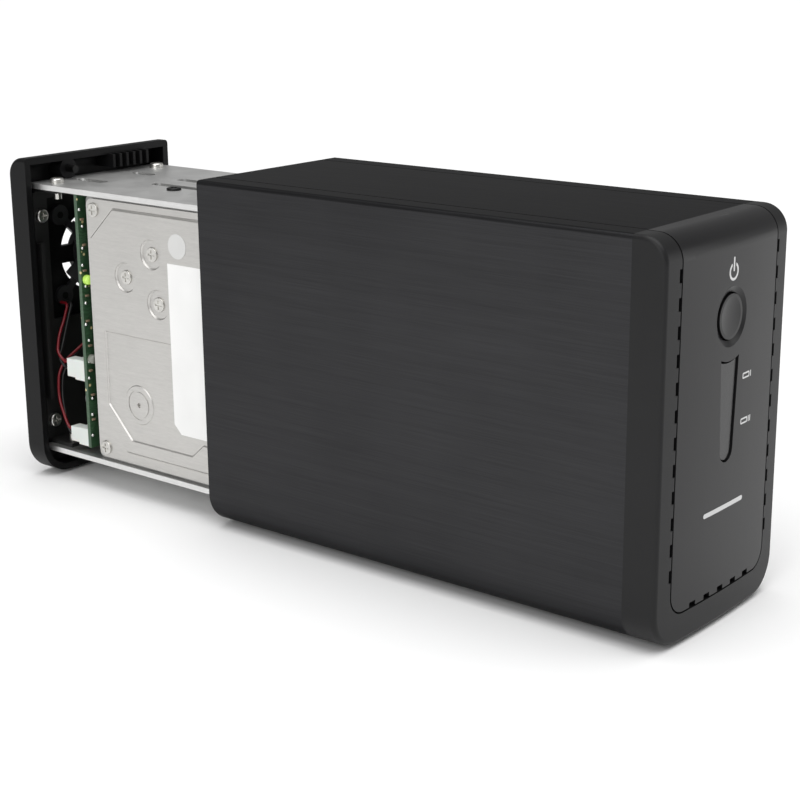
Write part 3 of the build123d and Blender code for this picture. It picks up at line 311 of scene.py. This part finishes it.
def lens(name, colour, glow):
    """A lamp body: the upper bay's lamp is lit, the lower bay's is clear and dark."""
    finish = Finish(name, colour, 0.12, Transmission_Weight=0.25, IOR=1.5)
    core = finish.noise(1.2, 1.0)
    low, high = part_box("board_leds")
    lit = finish.axis("Z") > (low.z + high.z) / 2
    finish.paint(finish.blend(lit, (0.30, 0.31, 0.27, 1.0), finish.tint(core, 0.85, 1.2)))
    finish.rough(0.08 + 0.1 * core)
    glowing = finish.blend(lit, (0.0, 0.0, 0.0, 1.0), finish.colour)
    finish.tree.links.new(glowing, finish.shader.inputs["Emission Color"])
    finish.shader.inputs["Emission Strength"].default_value = glow
    return finish


def wire_skin(name, colour):
    """Glossy extruded insulation with faint draw lines."""
    finish = Finish(name, colour, 0.3)
    skin = finish.noise(0.5, 2.0)
    finish.paint(finish.tint(skin, 0.8, 1.2))
    finish.rough(0.25 + 0.15 * skin)
    return finish.relief(skin, 0.01)


def plated(name, colour, roughness=0.3):
    """Plated steel: fine speckle, with tone and gloss that vary a little."""
    finish = Finish(name, colour, roughness, 1.0)
    fine = finish.noise(0.25, 3.0, 0.6)
    broad = finish.noise(2.2, 3.0)
    finish.paint(finish.tint((0.5 * fine + 0.5 * broad).ramp(0.3, 0.7), 0.8, 1.15))
    finish.rough(roughness - 0.08 + 0.2 * broad)
    return finish.relief(fine, 0.01)


def port_shell(name, colour, ports, wall=0.0011, rim=0.0006):
    """Tinned steel, even outside, with black mouldings in the mouths of the ports."""
    finish = Finish(name, colour, 0.3, 1.0)
    fine = finish.noise(0.25, 3.0, 0.6)
    mouths = None
    for port in ports:
        low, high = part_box(port)
        inside = (finish.axis("X") > low.x + wall) * (finish.axis("X") < high.x - wall)
        inside = inside * (finish.axis("Z") > low.z + wall) * (finish.axis("Z") < high.z - wall)
        inside = inside * (finish.axis("Y") < high.y - rim)
        mouths = inside if mouths is None else mouths.largest(inside)
    finish.paint(finish.blend(mouths, finish.tint(fine, 0.92, 1.06), (0.012, 0.012, 0.013, 1.0)))
    finish.tree.links.new((1.0 - mouths).socket, finish.shader.inputs["Metallic"])
    finish.rough(0.26 + 0.08 * fine)
    return finish.relief(fine, 0.004)


# ------------------------------------------------------------------ settings
class EnclosureColours(bpy.types.PropertyGroup):
    """Colours of the casing and of the tray."""

    def tone(name, description, value):
        settings = {"subtype": "COLOR", "size": 3, "min": 0.0, "max": 1.0}
        return FloatVectorProperty(name=name, description=description, default=value, **settings)

    sleeve: tone("Sleeve", "Anodised sleeve", (0.042, 0.042, 0.044))
    bezel: tone("Bezel", "Frame round the front panel", (0.010, 0.010, 0.0105))
    panel: tone("Front panel", "Satin front panel", (0.009, 0.0088, 0.0095))
    cover: tone("Rear cover", "Moulded rear cover", (0.004, 0.004, 0.0043))
    marks: tone("Marks", "Power symbol and bay marks", (0.62, 0.62, 0.62))
    plate: tone("Tray plates", "Galvanised tray plates", (0.76, 0.76, 0.75))
    lid: tone("Drive lids", "Stamped drive lids", (0.56, 0.55, 0.53))
    board: tone("Boards", "Circuit boards", (0.03, 0.075, 0.035))


class EnclosureStudio(bpy.types.PropertyGroup):
    """The studio: camera, lights and floor."""

    azimuth: FloatProperty(
        name="Azimuth",
        description="Camera heading, 0 looks along +Y",
        unit="ROTATION",
        default=math.radians(50.639),
    )
    elevation: FloatProperty(
        name="Elevation",
        description="Camera pitch",
        unit="ROTATION",
        default=math.radians(-15.781),
    )
    roll: FloatProperty(
        name="Roll",
        description="Camera roll",
        unit="ROTATION",
        default=math.radians(-0.509),
    )
    place: FloatVectorProperty(
        name="Camera place",
        description="Where the camera stands",
        unit="LENGTH",
        size=3,
        default=(-0.437875, -0.33109, 0.210255),
    )
    lens: FloatProperty(
        name="Lens",
        description="Focal length on a 36 mm frame, in millimetres",
        default=76.0,
    )
    key: FloatProperty(
        name="Key light",
        description="Strength of the wide light from above",
        default=2.7,
    )
    fill: FloatProperty(
        name="Fill light",
        description="Power of the light at the camera's side",
        default=3.6,
    )
    front: FloatProperty(
        name="Front light",
        description="Power of the light to the right of the front",
        default=1.3,
    )
    sky: FloatProperty(
        name="Surroundings",
        description="Brightness of the white surroundings as a light",
        default=0.3,
    )
    backdrop: FloatProperty(
        name="Backdrop",
        description="Brightness of the white surroundings as the camera sees them",
        default=1.1,
    )


class EnclosureSizes(bpy.types.PropertyGroup):
    """Sizes of the small pieces on the boards."""

    part_length: FloatProperty(
        name="Chip part length",
        description="Length of a small surface part",
        unit="LENGTH",
        default=0.0016,
        min=0.0005,
        max=0.004,
    )
    solder_radius: FloatProperty(
        name="Solder radius",
        description="Radius of a solder joint",
        unit="LENGTH",
        default=0.0007,
        min=0.0002,
        max=0.002,
    )
    spring_wire: FloatProperty(
        name="Spring wire",
        description="Radius of the button spring's wire",
        unit="LENGTH",
        default=0.00022,
        min=0.0001,
        max=0.0004,
    )
    spring_turns: FloatProperty(
        name="Spring turns",
        description="Turns of the button's spring",
        default=2.5,
        min=1.0,
        max=6.0,
    )
    button_travel: FloatProperty(
        name="Button travel",
        description="How far the power button goes in",
        unit="LENGTH",
        default=0.001,
        min=0.0,
        max=0.002,
    )
    segments: IntProperty(
        name="Segments",
        description="Sides of the round pieces",
        default=16,
        min=6,
        max=64,
    )


# ------------------------------------------------------------------ modelling helpers
def deselect():
    for thing in bpy.context.selected_objects:
        thing.select_set(False)


def activate(*things):
    """Selects only these objects, the first one active."""
    deselect()
    for thing in things:
        thing.select_set(True)
    bpy.context.view_layer.objects.active = things[0]


def settle():
    """Puts the active object's place, turn and scale into its mesh."""
    bpy.ops.object.transform_apply(location=True, rotation=True, scale=True)
    return bpy.context.active_object


def bevelled_box(name, low, high, bevel):
    """A box between two corners with rounded edges."""
    deselect()
    middle = (Vector(low) + Vector(high)) / 2
    bpy.ops.mesh.primitive_cube_add(size=1.0, location=middle)
    box = bpy.context.active_object
    box.name = name
    box.scale = Vector(high) - Vector(low)
    settle()
    bpy.ops.object.mode_set(mode="EDIT")
    bpy.ops.mesh.select_all(action="SELECT")
    bpy.ops.mesh.bevel(offset=bevel, segments=2, affect="EDGES")
    bpy.ops.object.mode_set(mode="OBJECT")
    bpy.ops.object.shade_smooth_by_angle(angle=math.radians(40))
    return box


def dome(name, centre, radius, height, segments, outward):
    """A solder joint standing on a board; outward is 1 where the board faces +Y and -1 where it faces -Y."""
    deselect()
    rings = segments // 2
    bpy.ops.mesh.primitive_uv_sphere_add(segments=segments, ring_count=rings, radius=radius, location=centre)
    joint = bpy.context.active_object
    joint.name = name
    joint.scale = (1.0, height / radius, 1.0)
    settle()
    bpy.ops.object.mode_set(mode="EDIT")
    bpy.ops.mesh.select_all(action="SELECT")
    bpy.ops.mesh.bisect(plane_co=centre, plane_no=(0.0, -outward, 0.0), clear_outer=True, use_fill=True)
    bpy.ops.object.mode_set(mode="OBJECT")
    bpy.ops.object.shade_smooth_by_angle(angle=math.radians(60))
    return joint


def joined(name, pieces):
    """One object made of several."""
    activate(*pieces)
    bpy.ops.object.join()
    whole = bpy.context.active_object
    whole.name = name
    return settle()


def coil(name, low, high, wire, turns):
    """A round-wire spring along y that fills the box between two corners."""
    middle = (low + high) / 2
    radius = (high.x - low.x) / 2 - wire
    bpy.ops.mesh.primitive_circle_add(vertices=10, radius=wire, location=(radius, 0.0, wire),
                                      rotation=(math.radians(90), 0.0, 0.0))
    piece = bpy.context.active_object
    piece.name = name
    settle()
    screw = piece.modifiers.new("turns", "SCREW")
    screw.angle = math.tau * turns
    screw.screw_offset = high.y - low.y - 2 * wire
    screw.steps = screw.render_steps = round(36 * turns)
    bpy.ops.object.modifier_apply(modifier=screw.name)
    bpy.ops.object.mode_set(mode="EDIT")
    bpy.ops.mesh.select_all(action="SELECT")
    bpy.ops.mesh.fill_holes(sides=0)
    bpy.ops.mesh.normals_make_consistent(inside=False)
    bpy.ops.object.mode_set(mode="OBJECT")
    piece.rotation_euler = (math.radians(-90), 0.0, 0.0)
    piece.location = (middle.x, low.y, middle.z)
    settle()
    return piece


def wear(piece, finish, body):
    """Gives a new piece its finish and the body that it moves with."""
    piece.data.materials.clear()
    piece.data.materials.append(finish.material)
    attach(piece, body)
    return piece


def dress(slot, finish):
    """Gives a finish to every CAD node of a material slot."""
    nodes = [entry["node"] for entry in frame["record"]["subparts"] if entry["material_slot"] == slot]
    if not nodes:
        raise RuntimeError(f"no node has the material slot {slot}")
    for name in nodes:
        node = frame["nodes"][name]
        node.data.materials.clear()
        node.data.materials.append(finish.material)
    return finish


# ------------------------------------------------------------------ operators
class ENCLOSURE_OT_casing(bpy.types.Operator):
    """Finish the sleeve, the front bezel and the foot"""

    bl_idname = "enclosure.casing"
    bl_label = "Casing"

    def execute(self, context):
        colours = context.scene.enclosure_colours
        grain = {"along": (1.0, 120.0, 1.0), "depth_mm": 0.006, "spread": 0.22}
        edge_tint = (0.5, 0.5, 0.5, 1.0)
        dress("sleeve", brushed("brushed_anodising", colours.sleeve, 0.36, Specular_Tint=edge_tint, **grain))
        dress("bezel", moulded("bezel_plastic", colours.bezel, 0.4, 0.35, 0.012, Specular_IOR_Level=0.24))
        dress("foot", rubber("foot_rubber", (0.02, 0.02, 0.02)))
        return {"FINISHED"}


class ENCLOSURE_OT_front(bpy.types.Operator):
    """Finish the front panel, its button, its light pipe and its marks"""

    bl_idname = "enclosure.front"
    bl_label = "Front panel"

    def execute(self, context):
        colours = context.scene.enclosure_colours
        satin = moulded("panel_plastic", colours.panel, 0.3, 0.3, 0.008, 0.06, Specular_IOR_Level=0.28)
        dress("panel", satin)
        smoked = tuple(0.9 * channel for channel in colours.panel)
        dress("light_pipe", moulded("light_pipe_plastic", smoked, 0.22, 0.6, 0.004))
        dress("mark", moulded("mark_print", colours.marks, 0.4, 0.3, 0.004, 0.05))
        sizes = context.scene.enclosure_sizes
        low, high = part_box("button_spring")
        spring = coil("button_coil", low, high, sizes.spring_wire, sizes.spring_turns)
        wear(spring, plated("spring_wire", (0.5, 0.5, 0.5)), "housing")
        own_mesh(spring)
        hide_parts("button_spring")
        return {"FINISHED"}


class ENCLOSURE_OT_tray(bpy.types.Operator):
    """Finish the tray's plates, screws, bracket and rear cover"""

    bl_idname = "enclosure.tray"
    bl_label = "Tray and rear cover"

    def execute(self, context):
        colours = context.scene.enclosure_colours
        dress("plate", zinc_sheet("galvanised_sheet", colours.plate))
        dress("cover", moulded("cover_plastic", colours.cover, 0.42, 0.5, 0.02, Specular_IOR_Level=0.16))
        dress("bracket", moulded("bracket_coating", (0.008, 0.008, 0.008), 0.5, 0.4, 0.03))
        dress("screw", plated("zinc_screw", (0.62, 0.61, 0.58)))
        dress("black_screw", plated("black_oxide", (0.03, 0.03, 0.03), 0.38))
        return {"FINISHED"}


class ENCLOSURE_OT_drives(bpy.types.Operator):
    """Finish the hard drives"""

    bl_idname = "enclosure.drives"
    bl_label = "Hard drives"

    def execute(self, context):
        colours = context.scene.enclosure_colours
        grain = {"along": (1.0, 14.0, 1.0), "depth_mm": 0.01, "spread": 0.1}
        dress("drive_lid", brushed("stamped_lid", colours.lid, 0.4, **grain))
        dress("drive_casting", die_cast("drive_casting", (0.36, 0.36, 0.355)))
        dress("paper", coated_paper("label_paper", (0.86, 0.86, 0.85)))
        dress("drive_pcb", circuit_board("drive_board_mask", (0.015, 0.08, 0.04)))
        return {"FINISHED"}


def solder_joints(low, high, sizes):
    """Two staggered columns of joints: the first on the board's front face, the second on its back."""
    joints = []
    for row in range(SOLDER_ROWS):
        z = low.z + (SOLDER_START + SOLDER_PITCH * row) * MM
        for column in range(2):
            across = SOLDER_EDGE + SOLDER_COLUMN_PITCH * column + SOLDER_STEP * (row % 3)
            y = high.y if column else low.y
            centre = Vector((low.x + across * MM, y, z + SOLDER_STAGGER * MM * (row % 2)))
            outward = 1.0 if column else -1.0
            radius = sizes.solder_radius
            joints.append(dome("solder_joint", centre, radius, radius, sizes.segments, outward))
    return joints


def small_parts(low, high, sizes):
    """Chip parts on the back face of the board and, a little higher, on its front face."""
    parts = []
    size = Vector((sizes.part_length, PART_DEPTH * MM, PART_HEIGHT * MM))
    for row in range(PART_ROWS):
        z = low.z + (PART_START + PART_PITCH * row) * MM
        behind_x = low.x + (BEHIND_START + BEHIND_STEP * (row % 4)) * MM
        before_x = low.x + (BEFORE_START + BEFORE_STEP * (row % 2)) * MM
        behind = Vector((behind_x, high.y, z))
        before = Vector((before_x, low.y - size.y, z + BEFORE_RISE * MM))
        for corner in (behind, before):
            parts.append(bevelled_box("small_part", corner, corner + size, PART_BEVEL * MM))
    return parts


class ENCLOSURE_OT_boards(bpy.types.Operator):
    """Finish the circuit boards and their connectors, and add the small parts on them"""

    bl_idname = "enclosure.boards"
    bl_label = "Boards and connectors"

    def execute(self, context):
        colours = context.scene.enclosure_colours
        sizes = context.scene.enclosure_sizes
        dress("board", circuit_board("board_mask", colours.board))
        dress("chip", moulded("chip_package", (0.012, 0.012, 0.013), 0.4, 0.2, 0.01))
        dress("capacitor", plated("capacitor_can", (0.55, 0.55, 0.57), 0.28))
        dress("led", lens("lamp_lens", (0.55, 0.85, 0.15), 0.25))
        dress("white_plastic", moulded("white_nylon", (0.78, 0.77, 0.72), 0.4, 0.5, 0.01, 0.05,
                                       Subsurface_Weight=0.15))
        dress("black_plastic", moulded("black_moulding", (0.012, 0.012, 0.012), 0.4))
        dress("port_shell", port_shell("tinned_shell", (0.66, 0.66, 0.63), ("lan_port", "usb_port")))
        dress("lead_red", wire_skin("red_insulation", (0.16, 0.004, 0.009)))
        dress("lead_black", wire_skin("black_insulation", (0.012, 0.012, 0.012)))
        low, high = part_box("backplane_board")
        solder = plated("solder", (0.75, 0.75, 0.73), 0.2)
        wear(joined("solder_joints", solder_joints(low, high, sizes)), solder, "tray")
        parts = joined("small_parts", small_parts(low, high, sizes))
        wear(parts, moulded("small_part_ceramic", (0.25, 0.18, 0.12), 0.4), "tray")
        return {"FINISHED"}


class ENCLOSURE_OT_fan(bpy.types.Operator):
    """Finish the fan"""

    bl_idname = "enclosure.fan"
    bl_label = "Fan"

    def execute(self, context):
        dress("fan_plastic", moulded("fan_plastic", (0.014, 0.014, 0.015), 0.35, 0.8, 0.01))
        return {"FINISHED"}


def studio_light(name, place, target, size, power):
    """A square light that faces its target."""
    light = bpy.data.lights.new(name, "AREA")
    light.energy, light.size = power, size
    lamp = bpy.data.objects.new(name, light)
    bpy.context.collection.objects.link(lamp)
    lamp.location = place
    lamp.rotation_euler = (Vector(target) - Vector(place)).to_track_quat("-Z", "Y").to_euler()
    return lamp


class ENCLOSURE_OT_stage(bpy.types.Operator):
    """Set the floor, the surroundings, the lights and the camera"""

    bl_idname = "enclosure.stage"
    bl_label = "Studio"

    def execute(self, context):
        studio = context.scene.enclosure_studio
        deselect()
        bpy.ops.mesh.primitive_plane_add(size=8.0, location=(0.0, 0.0, 0.0))
        floor = context.active_object
        floor.name = "studio_floor"
        paper = Finish("studio_paper", (0.93, 0.93, 0.93), 0.8)
        floor.data.materials.append(paper.material)
        world = bpy.data.worlds.new("studio_surroundings")
        world.use_nodes = True
        tree = world.node_tree
        tree.nodes["Background"].inputs["Color"].default_value = (1.0, 1.0, 1.0, 1.0)
        ray = tree.nodes.new("ShaderNodeLightPath")
        strength = tree.nodes.new("ShaderNodeMapRange")
        strength.inputs["To Min"].default_value = studio.sky
        strength.inputs["To Max"].default_value = studio.backdrop
        tree.links.new(ray.outputs["Is Camera Ray"], strength.inputs["Value"])
        tree.links.new(strength.outputs["Result"], tree.nodes["Background"].inputs["Strength"])
        context.scene.world = world
        context.scene.view_settings.view_transform = "Standard"
        above = bpy.data.lights.new("overhead_light", "SUN")
        above.energy, above.angle = studio.key, math.radians(70)
        overhead = bpy.data.objects.new("overhead_light", above)
        overhead.rotation_euler = (math.radians(8), math.radians(-6), 0.0)
        context.collection.objects.link(overhead)
        studio_light("fill_light", (-1.05, -0.15, 0.55), (0.0, 0.08, 0.06), 0.6, studio.fill)
        studio_light("front_light", (0.75, -0.95, 0.25), (0.0, -0.1, 0.05), 0.5, studio.front)
        heading, pitch, roll = studio.azimuth, studio.elevation, studio.roll
        level = math.cos(pitch)
        forward = Vector((math.sin(heading) * level, math.cos(heading) * level, math.sin(pitch)))
        right = Vector((math.cos(heading), -math.sin(heading), 0.0))
        up = right.cross(forward)
        turned_right = right * math.cos(roll) + up * math.sin(roll)
        turned_up = up * math.cos(roll) - right * math.sin(roll)
        camera = bpy.data.objects.new("camera", bpy.data.cameras.new("camera"))
        context.collection.objects.link(camera)
        camera.data.lens, camera.data.sensor_width = studio.lens, 36.0
        camera.data.clip_start = 0.01
        axes = Matrix((turned_right, turned_up, -forward)).transposed().to_4x4()
        camera.matrix_world = Matrix.Translation(Vector(studio.place)) @ axes
        context.scene.camera = camera
        return {"FINISHED"}


class ENCLOSURE_PT_build(bpy.types.Panel):
    """The build steps of the enclosure, in order"""

    bl_idname = "ENCLOSURE_PT_build"
    bl_label = "Storage enclosure"
    bl_space_type = "VIEW_3D"
    bl_region_type = "UI"
    bl_category = "Enclosure"

    def draw(self, context):
        for step in STEPS:
            self.layout.operator(step.bl_idname)
        for group_name in GROUPS:
            group = getattr(context.scene, group_name)
            box = self.layout.box()
            for name in group.__annotations__:
                box.prop(group, name)


STEPS = (
    ENCLOSURE_OT_casing,
    ENCLOSURE_OT_front,
    ENCLOSURE_OT_tray,
    ENCLOSURE_OT_drives,
    ENCLOSURE_OT_boards,
    ENCLOSURE_OT_fan,
    ENCLOSURE_OT_stage,
)
GROUPS = {
    "enclosure_colours": EnclosureColours,
    "enclosure_studio": EnclosureStudio,
    "enclosure_sizes": EnclosureSizes,
}


def register():
    for kind in (*GROUPS.values(), *STEPS, ENCLOSURE_PT_build):
        bpy.utils.register_class(kind)
    for name, group in GROUPS.items():
        setattr(bpy.types.Scene, name, PointerProperty(type=group))


def unregister():
    for name in GROUPS:
        delattr(bpy.types.Scene, name)
    for kind in reversed((*GROUPS.values(), *STEPS, ENCLOSURE_PT_build)):
        bpy.utils.unregister_class(kind)


def main():
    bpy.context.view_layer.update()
    register()
    for step in STEPS:
        group, name = step.bl_idname.split(".")
        if getattr(getattr(bpy.ops, group), name)() != {"FINISHED"}:
            raise RuntimeError(f"{step.bl_label} didn't finish")


if __name__ == "__main__":
    main()
